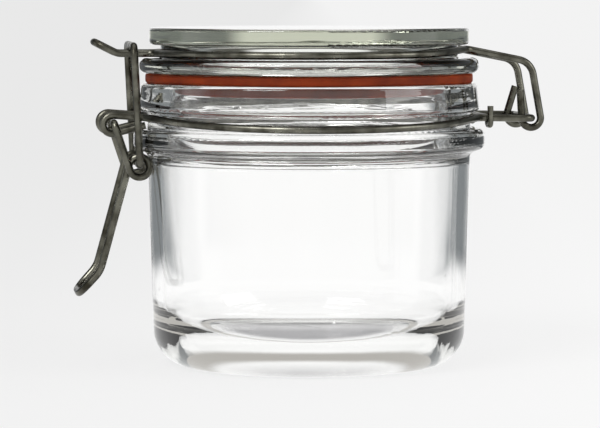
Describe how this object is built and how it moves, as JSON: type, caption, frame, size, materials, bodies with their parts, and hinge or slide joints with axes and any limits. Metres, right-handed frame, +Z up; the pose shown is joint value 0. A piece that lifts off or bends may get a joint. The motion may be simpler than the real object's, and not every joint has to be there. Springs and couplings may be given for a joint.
{
  "type": "clip-top glass canister",
  "caption": "Round clip-top glass canister with a hinged glass lid, a rubber seal and a wire bail closed by an over-centre lever.",
  "frame": {"origin": "centre of the foot ring on the plane the canister stands on, on the jar's axis", "axes": "+Z up along the jar's axis, +X towards the lid's hinge, -X towards the lever, XZ the plane of symmetry"},
  "size_m": [0.1417, 0.1068, 0.1025],
  "materials": {
    "clear_glass": "clear pressed glass with a faint grey-green tint",
    "seal_rubber": "matt orange-brown rubber",
    "steel_wire": "drawn dark galvanised steel wire"
  },
  "bodies": {
    "jar": {"jar_body": "clear_glass", "neck_wire": "steel_wire", "hinge_tie": "steel_wire"},
    "lid": {"lid": "clear_glass", "lid_wire": "steel_wire", "seal_ring": "seal_rubber"},
    "lever": {"lever": "steel_wire"},
    "bail": {"bail": "steel_wire"}
  },
  "joints": [
    {"name": "lid_hinge", "type": "hinge", "parent": "jar", "child": "lid", "pos_m": [0.0662, 0, 0.0752], "axis": [0, 1, 0], "range_deg": [0, 120]},
    {"name": "lever_pivot", "type": "hinge", "parent": "jar", "child": "lever", "pos_m": [-0.06, 0, 0.07416], "axis": [0, 1, 0], "range_deg": [0, 120]},
    {"name": "bail_pivot", "type": "hinge", "parent": "lever", "child": "bail", "pos_m": [-0.0525, 0, 0.0617], "axis": [0, 1, 0], "range_deg": [-120, 0]}
  ],
  "couplings": [
    {"joint": "lever_pivot", "follows": "lid_hinge", "ratio": 1},
    {"joint": "bail_pivot", "follows": "lid_hinge", "ratio": -1}
  ]
}
